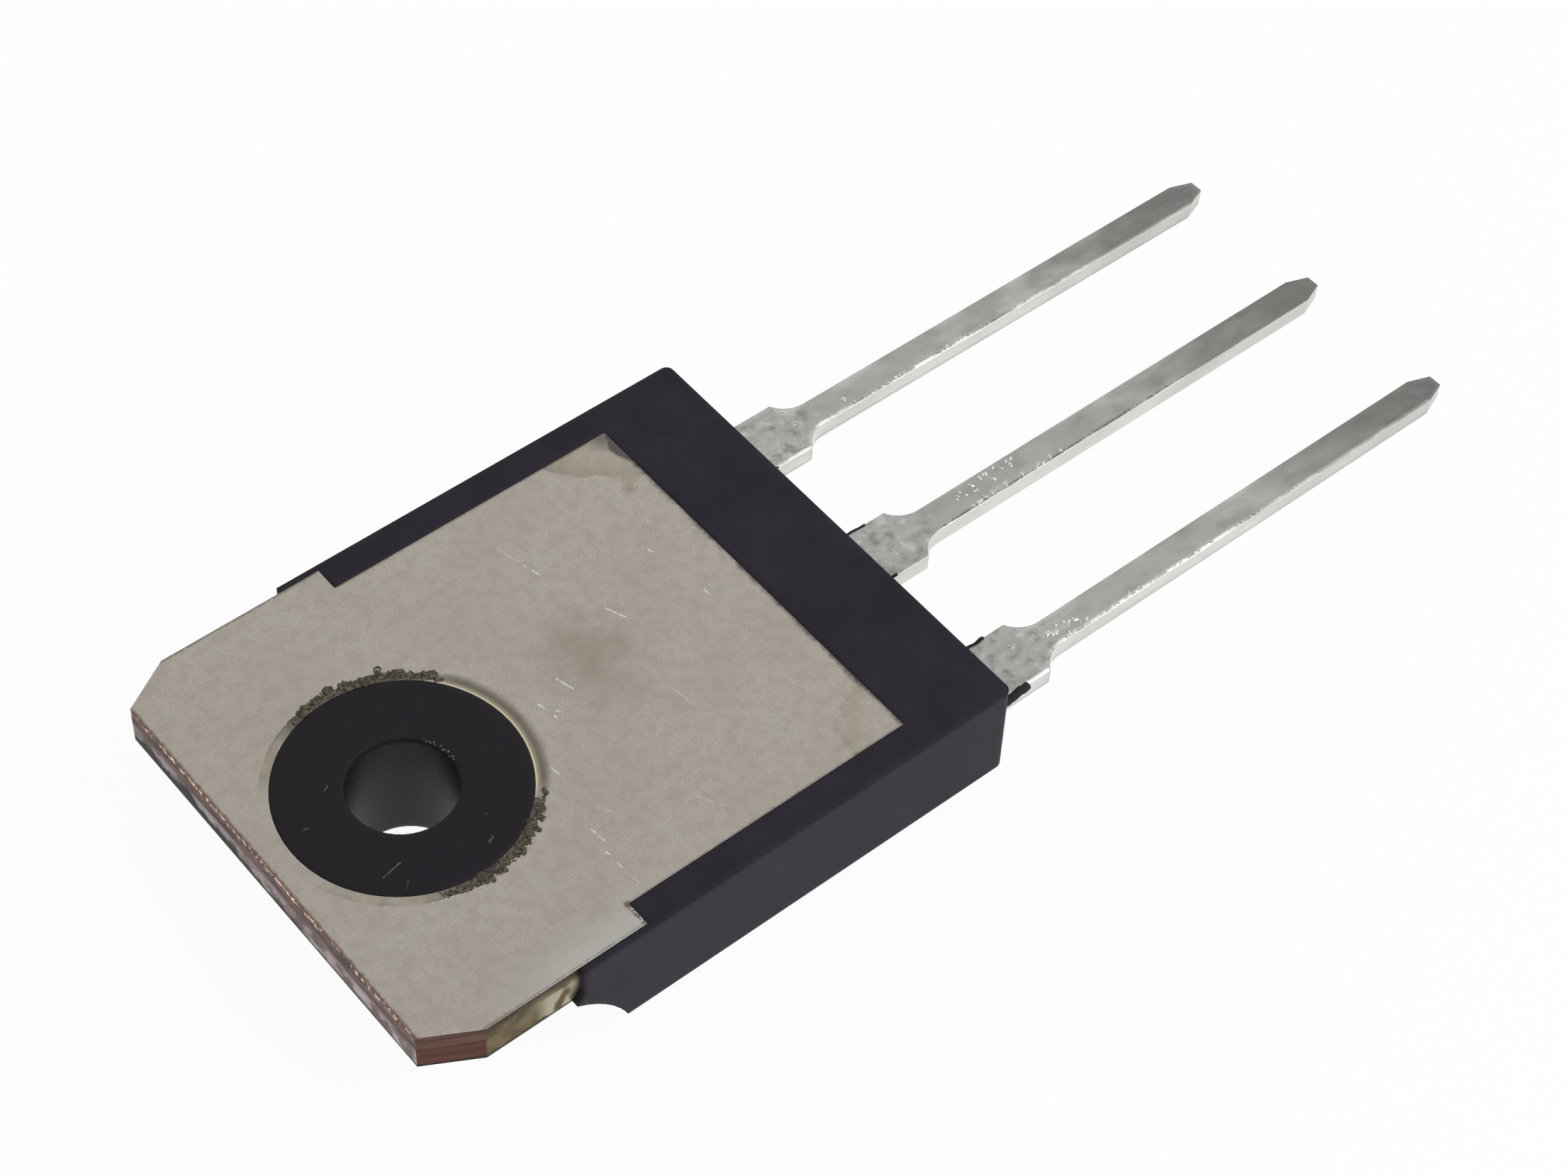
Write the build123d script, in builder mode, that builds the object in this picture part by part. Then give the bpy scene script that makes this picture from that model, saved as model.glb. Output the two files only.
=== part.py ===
from build123d import *
from math import radians, tan
import os

# Power transistor in a flat moulded package with three leads and an insulated screw hole.
# It lies on its front face with the metal mounting face up. The origin is on the axis of the
# screw hole, in the plane of the mounting face. +Z points out of the mounting face, +Y runs
# towards the tips of the leads and +X is the emitter's side. All lengths are in millimetres.

# Moulding
body_width = 15.6
body_thickness = 4.8
hole_to_lead_face = 15.4
corner_radius = 0.25
wall_draft = 1.0  # degrees, on the walls between the mounting face and the parting line
side_bevel = 0.95  # how far the front half draws in along its sides
lead_end_bevel = 0.5  # the same under the leads
slope_start = 1.7  # hole axis to the line where the shoulders begin to slope up to the tab
slope_hollow = 0.21  # how far that slope sinks in at its middle
base_flank_end = 1.2  # hole axis to the end of the thin plastic beside the tab, on the base's side
emitter_flank_end = 0.25  # the same on the emitter's side
flank_drop = 1.0  # mounting face to the lower end of that plastic's upright edge
nose_side_wall = 1.2  # plastic beside the ring, on the nose that carries the screw hole
nose_end_wall = 0.2  # plastic beyond the ring, at the tab's end
nose_corner = 1.2
nose_bevel = 0.48  # how far the nose draws in from the tab to the front face
scoop_radius = 1.0  # hollow where the nose meets the sloping shoulders
front_edge_bevel = 0.2  # small bevel round the front face
hole_diameter = 3.2
mouth_diameter = 4.2  # the hole opens out at the front
mouth_angle = 80.0  # degrees, whole angle of that opening

# Header, the copper plate that carries the die and shows as the mounting face
header_thickness = 1.4
flank_wall = 0.2  # thin plastic beside the tab
hole_to_tab_end = 4.4
clip_across = 0.9  # clipped corners at the tab's end
clip_along = 1.6
notch_from_hole = 2.5  # hole axis to the step where the plate narrows
neck_wall = 1.0  # plastic beside the neck
header_cover = 3.2  # plastic between the plate's inner end and the lead face
ring_diameter = 7.25  # opening in the plate, filled by the plastic round the screw hole
lip_reach = 0.4  # coined lip on the neck's inner side, which keys it into the plastic
lip_thickness = 0.5
groove_width = 0.4  # square-cut groove across the plate between the screw hole and the die
groove_gap = 0.3  # ring to groove

# Leads
lead_pitch = 5.45
lead_depth = 2.8  # mounting face to the nearer face of the leads
lead_thickness = 0.6
lead_length = 20.5  # lead face to the tips
shank_width = 1.0
shoulder_width = 2.1
shoulder_length = 3.05
shoulder_run = 0.9  # length of the hollow curve from shoulder to shank
tip_length = 0.75
tip_width = 0.45
post_width = 3.8  # widened inner ends of the base and emitter leads
post_length = 2.0
post_cover = 1.0  # plastic between the posts and the lead face
post_inset = 0.45  # how far a post sits towards the middle from its lead
post_corner = 0.3
jog_lead_in = 0.5  # flat run of the collector strip before it bends
jog_radius = 0.7

# Die, its solder and its wires
die_side = 5.6
die_thickness = 0.3
solder_thickness = 0.08
solder_margin = 0.15
wire_diameter = 0.3
wire_bend = 1.0
foot_length = 0.9
foot_width = 0.45
foot_thickness = 0.2
wire_stand_share = 0.55  # of the wire's diameter, from the bonded face to the wire's middle
loop_depth_share = 0.45  # of the plastic in front of the posts
loop_start_share = 0.42  # of the span, where the wire reaches its full depth
loop_end_share = 0.78  # of the span, where it turns back to the post

# Bond places: on the die as shares of its side from its middle, on the post as shares of its width
# from the post's middle. Each row is the wire's name, its side, then x and y on the die, x on the post.
wire_shares = [
    ("base_bond_wire", -1, 0.3, 0.22, 0.1),
    ("emitter_bond_wire_1", 1, 0.12, 0.25, -0.25),
    ("emitter_bond_wire_2", 1, 0.3, 0.1, 0.2),
]

overrun = 1.0  # extra reach of cuts past what they cut

# Levels below the mounting face and places along the leads
front_z = -body_thickness
header_front_z = -header_thickness
parting_z = -(lead_depth + lead_thickness)
die_face_z = header_front_z - solder_thickness - die_thickness
ring_radius = ring_diameter / 2
tab_width = body_width - 2 * flank_wall
neck_width = body_width - 2 * neck_wall
header_end = hole_to_lead_face - header_cover
die_centre = (ring_radius + header_end) / 2
post_end = hole_to_lead_face - post_cover
post_middle = post_end - post_length / 2
shoulder_end = hole_to_lead_face + shoulder_length
tip_end = hole_to_lead_face + lead_length
finished = {}
os.makedirs("parts", exist_ok=True)


def keep(name, piece):
    """Label a finished piece, write it and keep it for the pieces that are fitted round it."""
    piece.label = name
    finished[name] = piece
    export_step(piece, f"parts/{name}.step")


def lead_outline(centre_x, root):
    """One lead in plan, from its root to its pointed tip."""
    shoulder_corner = (centre_x + shoulder_width / 2, shoulder_end)
    shank_start = (centre_x + shank_width / 2, shoulder_end + shoulder_run)
    with BuildSketch() as plan:
        with BuildLine():
            Polyline((centre_x, root), (shoulder_corner[0], root), shoulder_corner)
            TangentArc(shank_start, shoulder_corner, tangent=(0, -1))
            Polyline(
                shank_start,
                (shank_start[0], tip_end - tip_length),
                (centre_x + tip_width / 2, tip_end),
                (centre_x, tip_end),
            )
            mirror(about=Plane.YZ.offset(centre_x))
        make_face()
    return plan.sketch


def plan_block(width, start, end, radius, rounded_row):
    """A block in plan between two places along the leads, with the corners of one end rounded."""
    with BuildSketch() as plan:
        with Locations((0, (start + end) / 2)):
            Rectangle(width, end - start)
        fillet(plan.vertices().group_by(Axis.Y)[rounded_row], radius)
    return plan.sketch


# Header and collector lead, one piece of copper rolled to two thicknesses
with BuildPart() as collector_header:
    with BuildSketch(Plane.XY.offset(header_front_z)):
        with BuildLine():
            Polyline(
                (0, -hole_to_tab_end),
                (tab_width / 2 - clip_across, -hole_to_tab_end),
                (tab_width / 2, clip_along - hole_to_tab_end),
                (tab_width / 2, notch_from_hole),
                (neck_width / 2, notch_from_hole),
                (neck_width / 2, header_end),
                (0, header_end),
            )
            mirror(about=Plane.YZ)
        make_face()
        Circle(ring_radius, mode=Mode.SUBTRACT)
    extrude(amount=header_thickness)
    lip_start = notch_from_hole
    lip_end = header_end + lip_reach
    with BuildSketch(Plane.XY.offset(header_front_z)):
        with Locations((0, (lip_start + lip_end) / 2)):
            Rectangle(neck_width + 2 * lip_reach, lip_end - lip_start)
        Circle(ring_radius, mode=Mode.SUBTRACT)
    extrude(amount=lip_thickness)
    groove_middle = ring_radius + groove_gap + groove_width / 2
    with BuildSketch(Plane.YZ):
        with Locations((groove_middle, header_front_z)):
            Triangle(a=groove_width, B=45, C=45, align=(Align.CENTER, Align.MIN))
    extrude(amount=neck_width / 2 + lip_reach + overrun, both=True, mode=Mode.SUBTRACT)
    strip_z = header_front_z + lead_thickness / 2
    lead_middle_z = parting_z + lead_thickness / 2
    with BuildSketch(Plane.YZ):
        with BuildLine():
            FilletPolyline(
                (header_end - lead_thickness, strip_z),
                (header_end + lip_reach + jog_lead_in, strip_z),
                (post_end, lead_middle_z),
                (hole_to_lead_face, lead_middle_z),
                radius=jog_radius,
            )
        trace(line_width=lead_thickness)
    extrude(amount=shoulder_width / 2, both=True)
    with BuildSketch(Plane.XY.offset(parting_z)):
        add(lead_outline(0, hole_to_lead_face))
    extrude(amount=lead_thickness)
keep("collector_header", collector_header.part)

# Base and emitter leads, each with a widened post inside the moulding
for name, side in (("base_lead", -1), ("emitter_lead", 1)):
    with BuildPart() as side_lead:
        with BuildSketch(Plane.XY.offset(parting_z)):
            with Locations((side * (lead_pitch - post_inset), post_middle)):
                RectangleRounded(post_width, post_length, post_corner)
            add(lead_outline(side * lead_pitch, post_middle))
        extrude(amount=lead_thickness)
    keep(name, side_lead.part)

# Solder layer and die, on the header's inner face
with BuildPart() as die_solder:
    with Locations((0, die_centre, header_front_z)):
        solder_side = die_side + 2 * solder_margin
        Box(solder_side, solder_side, solder_thickness, align=(Align.CENTER, Align.CENTER, Align.MAX))
keep("die_solder", die_solder.part)

with BuildPart() as silicon_die:
    with Locations((0, die_centre, header_front_z - solder_thickness)):
        Box(die_side, die_side, die_thickness, align=(Align.CENTER, Align.CENTER, Align.MAX))
keep("silicon_die", silicon_die.part)

# Bond wires, each looping from a flattened foot on the die to one under a post
stand = wire_stand_share * wire_diameter
loop_z = parting_z - loop_depth_share * (body_thickness + parting_z)
for name, side, die_x_share, die_y_share, post_x_share in wire_shares:
    post_x = lead_pitch - post_inset + post_x_share * post_width
    on_die = Vector(side * die_x_share * die_side, die_centre + die_y_share * die_side, die_face_z)
    on_post = Vector(side * post_x, post_middle, parting_z)
    along = (on_post - on_die).project_to_plane(Plane.XY)
    span = along.length
    across = along.cross(Vector(0, 0, 1))
    with BuildPart() as bond_wire:
        with BuildLine(Plane(on_die, x_dir=along, z_dir=across)) as route:
            FilletPolyline(
                (0, -stand),
                (loop_start_share * span, loop_z - die_face_z),
                (loop_end_share * span, loop_z - die_face_z),
                (span, parting_z - stand - die_face_z),
                radius=wire_bend,
            )
        with BuildSketch(Plane(route.line @ 0, z_dir=route.line % 0)):
            Circle(wire_diameter / 2)
        sweep()
        for bond in (on_die, on_post):
            with Locations(Plane(bond, x_dir=along, z_dir=(0, 0, -1))):
                Box(
                    foot_length,
                    foot_width,
                    foot_thickness,
                    align=(Align.CENTER, Align.CENTER, Align.MIN),
                )
    keep(name, bond_wire.part)

# Hollow cut into each shoulder beside the nose, which slopes from the front up to the tab
nose_width = ring_diameter + 2 * nose_side_wall
nose_lean = nose_bevel / (header_front_z - front_z)
with BuildPart() as pocket:
    with BuildSketch(Plane.YZ):
        with BuildLine():
            slope = SagittaArc((0, header_front_z), (slope_start, parting_z), slope_hollow)
            climb, fall = slope % 0, slope % 1
            head = slope @ 0 - climb * (hole_to_tab_end / climb.X)
            foot = slope @ 1 + fall * ((front_z - overrun - parting_z) / fall.Y)
            Line(head, slope @ 0)
            Polyline(slope @ 1, foot, (head.X, foot.Y), head)
        make_face()
    extrude(amount=body_width)
    head_half, foot_half = (nose_width / 2 + nose_lean * (end.Y - header_front_z) for end in (head, foot))
    with BuildSketch(Plane.XZ):
        Polygon(
            (-overrun, head.Y),
            (head_half, head.Y),
            (foot_half, foot.Y),
            (-overrun, foot.Y),
            align=None,
        )
    extrude(amount=hole_to_lead_face, both=True, mode=Mode.SUBTRACT)
    nose_side = pocket.faces().sort_by(Axis.X)[0]
    fillet(nose_side.edges().filter_by_position(Axis.Y, 0, foot.X), scoop_radius)

# Moulding: an upright rear half, a bevelled front half and the nose round the screw hole
draft_reach = -parting_z * tan(radians(wall_draft))
parting_width = body_width + 2 * draft_reach
parting_end = hole_to_lead_face + draft_reach
front_width = parting_width - 2 * side_bevel
front_end = parting_end - lead_end_bevel
block_start = -overrun
block_length = hole_to_lead_face - block_start
nose_end = -ring_radius - nose_end_wall
nose_root = hole_to_lead_face / 2
with BuildPart() as mould_body:
    with BuildSketch():
        with Locations((0, hole_to_lead_face - block_length / 2)):
            RectangleRounded(body_width, block_length, corner_radius)
    extrude(amount=parting_z, taper=-wall_draft)
    with BuildSketch(Plane.XY.offset(parting_z)):
        add(plan_block(parting_width, block_start, parting_end, corner_radius + draft_reach, -1))
    with BuildSketch(Plane.XY.offset(front_z)):
        add(plan_block(front_width, block_start, front_end, corner_radius, -1))
    loft()
    add(pocket.part, mode=Mode.SUBTRACT)
    add(pocket.part.mirror(Plane.YZ), mode=Mode.SUBTRACT)
    for side, flank_end in ((-1, base_flank_end), (1, emitter_flank_end)):
        with BuildSketch(Plane.YZ):
            Polygon(
                (block_start - overrun, overrun),
                (flank_end, overrun),
                (flank_end, -flank_drop),
                (0, header_front_z),
                (block_start - overrun, header_front_z),
                align=None,
            )
        extrude(amount=side * body_width, mode=Mode.SUBTRACT)
    with BuildSketch(Plane.XY.offset(header_front_z)):
        add(plan_block(nose_width, nose_end, nose_root, nose_corner, 0))
    with BuildSketch(Plane.XY.offset(front_z)):
        add(plan_block(nose_width - 2 * nose_bevel, nose_end + nose_bevel, nose_root, nose_corner, 0))
    loft()
    chamfer(mould_body.edges().group_by(Axis.Z)[0], front_edge_bevel)
    with Locations((0, 0, header_front_z)):
        Cylinder(ring_radius, header_thickness, align=(Align.CENTER, Align.CENTER, Align.MIN))
    with Locations(Plane((0, 0, front_z), z_dir=(0, 0, -1))):
        CounterSinkHole(hole_diameter / 2, mouth_diameter / 2, counter_sink_angle=mouth_angle)
    for piece in finished.values():
        add(piece, mode=Mode.SUBTRACT)
keep("mould_body", mould_body.part)
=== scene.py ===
# %% [markdown]
# A power transistor lies on its front face, so that its metal mounting face looks up. The solid
# model is finished: the moulding, the copper header and the leads arrive as CAD nodes, and this
# file gives them a camera, light and finishes, then adds what is too small or too ragged for CAD.
# Blender works in metres here, so lengths are written in millimetres and multiplied by mm.

from math import cos, radians, sin

import bpy
from mathutils import Matrix, Vector


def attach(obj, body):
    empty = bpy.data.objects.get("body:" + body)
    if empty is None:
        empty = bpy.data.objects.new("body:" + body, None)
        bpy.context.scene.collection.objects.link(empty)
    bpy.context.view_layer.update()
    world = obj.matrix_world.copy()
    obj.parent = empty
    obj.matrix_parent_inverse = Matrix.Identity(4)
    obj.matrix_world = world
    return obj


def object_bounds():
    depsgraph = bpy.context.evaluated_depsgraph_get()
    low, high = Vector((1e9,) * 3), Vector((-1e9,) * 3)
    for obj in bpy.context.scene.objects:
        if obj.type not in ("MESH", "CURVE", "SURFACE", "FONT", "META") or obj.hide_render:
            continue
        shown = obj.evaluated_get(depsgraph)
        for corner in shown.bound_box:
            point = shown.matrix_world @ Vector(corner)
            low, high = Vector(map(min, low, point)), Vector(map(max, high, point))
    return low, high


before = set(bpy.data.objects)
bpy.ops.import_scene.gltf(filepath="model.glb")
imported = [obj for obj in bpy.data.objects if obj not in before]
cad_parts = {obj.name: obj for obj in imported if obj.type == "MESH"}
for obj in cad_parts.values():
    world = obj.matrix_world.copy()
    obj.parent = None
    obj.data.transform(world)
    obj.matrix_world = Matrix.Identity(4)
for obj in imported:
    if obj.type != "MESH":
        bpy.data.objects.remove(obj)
cad_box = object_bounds()
mm = 0.001
scene = bpy.context.scene
print("CAD nodes:", ", ".join(sorted(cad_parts)))
print("CAD box in mm:", [[round(v / mm, 2) for v in corner] for corner in cad_box])

# %% [markdown]
# The photograph looks down on the mounting face from the tab's end, past the emitter's side. Its
# camera is found by matching corners that the photograph and the model both show: the clipped
# corners of the tab, the notches and the lead shoulders. Aiming by eye would be quicker, but the
# leads are long and a wrong lens splays them, so place, turn and lens were fitted together.

# %% Camera
view_azimuth, view_elevation, view_roll = radians(47.317), radians(51.087), radians(3.954)
view_place = Vector((46.209, -29.012, 76.149)) * mm
lens_length, sensor_width = 78.33, 36
level_reach = cos(view_elevation)
back_x, back_y = level_reach * sin(view_azimuth), -level_reach * cos(view_azimuth)
view_back = Vector((back_x, back_y, sin(view_elevation)))
level_right = Vector((cos(view_azimuth), sin(view_azimuth), 0))
view_right = cos(view_roll) * level_right + sin(view_roll) * view_back.cross(level_right)
view_up = view_back.cross(view_right)
camera = bpy.data.objects.new("photo_camera", bpy.data.cameras.new("photo_camera"))
camera.data.sensor_width = sensor_width
camera.data.lens = lens_length
camera.data.clip_start = 1 * mm
view_turn = Matrix((view_right, view_up, view_back)).transposed().to_4x4()
camera.matrix_world = Matrix.Translation(view_place) @ view_turn
scene.collection.objects.link(camera)
scene.camera = camera
scene.view_settings.view_transform = "Standard"
print("camera is", round(view_place.length / mm), "mm from the screw hole")

# %% [markdown]
# Finishes here are sums: a stain is strong where the distance to an edge is small, and weaker where
# a noise is high. Wiring that by hand takes many lines, so one small class wraps an output socket.
# Arithmetic on a wire adds Math nodes, and its node method adds any other node, settings first.

# %% A wire that does sums
class Wire:
    """One output socket of a node tree, with arithmetic that adds nodes to that tree."""

    def __init__(self, socket):
        self.socket = socket

    def node(self, kind, plugs, out=0, **settings):
        """Add a node: settings first, then the values or wires of its sockets. Returns one output."""
        tree = self.socket.id_data
        made = tree.nodes.new(kind)
        for name, value in settings.items():
            setattr(made, name, value)
        for plug, value in plugs.items():
            if isinstance(value, Wire):
                tree.links.new(value.socket, made.inputs[plug])
            else:
                made.inputs[plug].default_value = value
        return Wire(made.outputs[out]) if made.outputs else None

    def beside(self, name):
        """Another output of the node that this wire comes from."""
        return Wire(self.socket.node.outputs[name])

    def math(self, operation, *values):
        """The result of one Math node."""
        return self.node("ShaderNodeMath", dict(enumerate(values)), operation=operation)

    def vector(self, operation, *values, out=0):
        """The result of one Vector Math node."""
        return self.node("ShaderNodeVectorMath", dict(enumerate(values)), out, operation=operation)

    def scaled(self, factor):
        """This vector times a number."""
        return self.node("ShaderNodeVectorMath", {0: self, "Scale": factor}, operation="SCALE")

    def __add__(self, other):
        return self.math("ADD", self, other)

    def __sub__(self, other):
        return self.math("SUBTRACT", self, other)

    def __rsub__(self, other):
        return self.math("SUBTRACT", other, self)

    def __mul__(self, other):
        return self.math("MULTIPLY", self, other)

    __radd__ = __add__
    __rmul__ = __mul__


print("a wire can:", ", ".join(name for name in vars(Wire) if "__" not in name))

# %% [markdown]
# Most of what follows is a share: 0 where a mark is absent, 1 where it is full. A straight ramp
# would show as a crease where it stops, so shares rise by a smooth step. Colours are written as a
# picture shows them, because that is how they are compared with the photograph.

# %% Shares and colours
def rise(value, low, high):
    """0 up to low, 1 from high on, with a smooth step between."""
    plugs = {"Value": value, "From Min": low, "From Max": high}
    return value.node("ShaderNodeMapRange", plugs, interpolation_type="SMOOTHSTEP")


def near(value, target, reach):
    """1 where a value meets its target, falling to 0 at a reach on both sides."""
    return 1 - rise(value.math("ABSOLUTE", value - target), 0.0, reach)


def most(first, *others):
    """The largest of several shares."""
    for other in others:
        first = first.math("MAXIMUM", first, other)
    return first


def mix(share, low, high):
    """The colour low where share is 0, and high where it is 1."""
    return share.node("ShaderNodeMix", {0: share, 6: low, 7: high}, out=2, data_type="RGBA")


def tone(red, green, blue):
    """A colour as a picture shows it, 0 to 255, turned into the light that a shader works in."""
    shares = [v / 255 for v in (red, green, blue)]
    return (*[s / 12.92 if s <= 0.04045 else ((s + 0.055) / 1.055) ** 2.4 for s in shares], 1.0)


print("mid grey of a picture is", round(tone(128, 128, 128)[0], 3), "in light")

# %% [markdown]
# Three patterns make all the marks: a cloud for anything uneven, specks for dust and pits, and a
# stroke for one scratch. Scratches could be a stretched noise, but the photograph shows where each
# one lies, and a stroke from point to point puts it there.

# %% Places and patterns
def parts_of(vector):
    """The x, y and z of a vector, each as a wire."""
    x = vector.node("ShaderNodeSeparateXYZ", {0: vector})
    return x, x.beside("Y"), x.beside("Z")


def length_of(vector):
    """How long a vector is."""
    return vector.vector("LENGTH", vector, out="Value")


def cloud(place, scale, detail=2.0, roughness=0.5):
    """Soft noise from 0 to 1, with scale lumps to the millimetre."""
    plugs = {"Vector": place, "Scale": scale, "Detail": detail, "Roughness": roughness}
    return place.node("ShaderNodeTexNoise", plugs)


def specks(place, scale, size, kept):
    """Round dots of one size, a given share of those that a regular scatter would have."""
    plugs = {"Vector": place, "Scale": scale}
    gap = place.node("ShaderNodeTexVoronoi", plugs, out="Distance")
    draw = parts_of(gap.beside("Color"))[0]
    return (1 - rise(gap, 0.5 * size * scale, size * scale)) * rise(draw, 1 - kept, 1.02 - kept)


def stroke(place, start, end, width):
    """A straight mark between two points of the mounting face, in millimetres."""
    start = Vector((*start, 0))
    along = Vector((*end, 0)) - start
    from_start = place.vector("SUBTRACT", place, start)
    share = from_start.vector("DOT_PRODUCT", from_start, along / along.length_squared, out="Value")
    held = share.node("ShaderNodeClamp", {"Value": share})
    foot = held.node("ShaderNodeVectorMath", {0: along, "Scale": held}, operation="SCALE")
    return 1 - rise(length_of(place.vector("SUBTRACT", from_start, foot)), 0.2 * width, width)


print("patterns: cloud, specks and stroke")

# %% [markdown]
# The part lies on white card in a white room. A lamp bright enough to burn the card out would
# bleach the metal too, so the card shows itself as white only to the camera, to shiny surfaces and
# through glass, and otherwise takes light as paper does. A share of the paper stays in what the
# camera sees, and with it the soft shadow under the part. The card lies a hair below the part, as
# two faces in one plane would flicker.

# %% White card
card_gap = 0.02 * mm
card_half = 0.6
paper_grey, white_share = 0.9, 0.94
floor_z = cad_box[0].z - card_gap
card_mesh = bpy.data.meshes.new("white_card")
card_turns = ((-1, -1), (1, -1), (1, 1), (-1, 1))
card_corners = [(x * card_half, y * card_half, floor_z) for x, y in card_turns]
card_mesh.from_pydata(card_corners, [], [(0, 1, 2, 3)])
card = bpy.data.objects.new("white_card", card_mesh)
scene.collection.objects.link(card)

card_finish = bpy.data.materials.new("white_card")
card_finish.use_nodes = True
card_finish.node_tree.nodes.clear()
rays = card_finish.node_tree.nodes.new("ShaderNodeLightPath").outputs
seen = most(Wire(rays["Is Camera Ray"]), Wire(rays["Is Glossy Ray"]), Wire(rays["Is Transmission Ray"]))
paper = seen.node("ShaderNodeBsdfDiffuse", {"Color": (paper_grey, paper_grey, paper_grey, 1)})
white = seen.node("ShaderNodeEmission", {"Color": (1, 1, 1, 1), "Strength": 1.0})
shown = seen.node("ShaderNodeMixShader", {0: seen * white_share, 1: paper, 2: white})
shown.node("ShaderNodeOutputMaterial", {"Surface": shown})
card_mesh.materials.append(card_finish)
print("white card at", round(floor_z / mm, 2), "mm")

# %% [markdown]
# The mounting face mirrors the upper part of the room, and the upright sides of the leads mirror its
# lower part. In the photograph the first is a mid grey and the second nearly white. An even room
# would make both alike, so this one grows darker towards its ceiling, and only the camera sees it all
# white. One large soft lamp from the emitter's side adds the small bright points.

# %% Room and lamp
ceiling_start, ceiling_end, ceiling_drop = 0.2, 0.95, 0.56
room = bpy.data.worlds.new("white_room")
room.use_nodes = True
room.node_tree.nodes.clear()
heading = Wire(room.node_tree.nodes.new("ShaderNodeTexCoord").outputs["Generated"])
looked_at = Wire(room.node_tree.nodes.new("ShaderNodeLightPath").outputs["Is Camera Ray"])
ceiling = rise(parts_of(heading)[2], ceiling_start, ceiling_end)
room_light = {"Color": (1, 1, 1, 1), "Strength": most(1.0 - ceiling_drop * ceiling, looked_at)}
glow = ceiling.node("ShaderNodeBackground", room_light)
glow.node("ShaderNodeOutputWorld", {"Surface": glow})
scene.world = room

lamp = bpy.data.lights.new("soft_lamp", "AREA")
lamp.size = 0.16
lamp.energy = 0.5
lamp_object = bpy.data.objects.new("soft_lamp", lamp)
lamp_place = Vector((0.17, 0.13, 0.24))
lamp_aim = Vector((0, 10 * mm, 0))
lamp_turn = (lamp_place - lamp_aim).to_track_quat("Z", "Y").to_matrix().to_4x4()
lamp_object.matrix_world = Matrix.Translation(lamp_place) @ lamp_turn
scene.collection.objects.link(lamp_object)
print("room from 1 at the horizon to", round(1 - ceiling_drop, 2), "overhead, lamp of", lamp.energy, "W")

# %% [markdown]
# Every finish starts the same way: one Principled shader, whose unchanging values are set on its own
# sockets, and the place on the piece in millimetres, from Object coordinates. A real edge is never
# quite sharp. Rounding them all in the mesh would change the CAD nodes, so the Bevel node bends the
# normal there instead, and the bump rides on top of that.

# %% How a finish starts and ends
def start_finish(name, steady):
    """A new material. Returns it, its shader and the place on the piece in millimetres."""
    finish = bpy.data.materials.new(name)
    finish.use_nodes = True
    shader = finish.node_tree.nodes["Principled BSDF"]
    for socket, value in steady.items():
        shader.inputs[socket].default_value = value
    place = Wire(finish.node_tree.nodes.new("ShaderNodeTexCoord").outputs["Object"])
    return finish, shader, place.scaled(1 / mm)


def facing(finish):
    """The x, y and z of the direction that the surface faces."""
    return parts_of(Wire(finish.node_tree.nodes.new("ShaderNodeNewGeometry").outputs["True Normal"]))


def end_finish(shader, height, depth, edge, **wires):
    """Link what varies to the shader, with a bump of a depth on edges rounded by a radius, in mm."""
    links = shader.id_data.links
    rounded = height.node("ShaderNodeBevel", {"Radius": edge * mm}, samples=6)
    plugs = {"Strength": 1.0, "Distance": depth * mm, "Height": height, "Normal": rounded}
    wires["Normal"] = height.node("ShaderNodeBump", plugs)
    for name, wire in wires.items():
        links.new(wire.socket, shader.inputs[name.replace("_", " ")])
    print(shader.id_data.name, "has", len(shader.id_data.nodes), "nodes")


def wear(node_name, finish):
    """Give a CAD node its finish."""
    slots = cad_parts[node_name].data.materials
    slots.clear()
    slots.append(finish)


print(len(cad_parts), "CAD nodes wait for a finish")

# %% [markdown]
# The moulding is epoxy filled with silica: very dark, a little purple, and matt with a fine grain.
# Plain black would hide its shape, so a faint cloud of a second tone runs through it. The ring round
# the hole is blacker than the rest and has a few short scuffs, and the bore was made by a polished
# pin, so it shines more. The edge radius is large: between the back and the sides the photograph
# shows a soft bend and no line.

# %% Moulding compound
bore_radius, ring_radius = 1.6, 3.625
moulding_depth, moulding_edge = 0.012, 0.28
moulding, shader, place = start_finish("moulding_compound", {"Specular IOR Level": 0.25})
z = parts_of(place)[2]
from_axis = length_of(place.vector("MULTIPLY", place, (1, 1, 0)))
in_ring = (1 - rise(from_axis, ring_radius - 0.03, ring_radius + 0.03)) * rise(z, -2.2, -0.5)
in_bore = (1 - rise(from_axis, bore_radius + 0.05, bore_radius + 0.15)) * (1 - rise(z, -0.25, -0.1))
grain = cloud(place, 14, 3, 0.7)
drift = cloud(place, 0.5, 4, 0.6)
dust = specks(place, 0.9, 0.035, 0.12)
# Each scuff: start, end, width and how strong it is.
scuff_marks = [
    ((2.13, -2.15), (2.01, -1.5), 0.028, 1.0),
    ((-1.16, -1.77), (-1.25, -1.59), 0.028, 0.6),
    ((2.94, 0.77), (2.85, 0.94), 0.05, 0.6),
    ((2.8, -1.85), (2.62, -1.69), 0.03, 0.4),
    ((-0.44, -2.93), (-0.42, -2.83), 0.05, 0.5),
]
scuffs = most(*[strength * stroke(place, start, end, width) for start, end, width, strength in scuff_marks])
scuffs = scuffs * rise(grain, 0.35, 0.6)
black = mix(rise(drift, 0.35, 0.65), tone(24, 20, 30), tone(31, 26, 37))
black = mix(0.75 * in_ring, black, tone(12, 8, 14))
black = mix(most(0.5 * dust, 0.55 * scuffs), black, tone(150, 145, 142))
dullness = 0.52 + 0.2 * grain - 0.22 * in_bore
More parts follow.
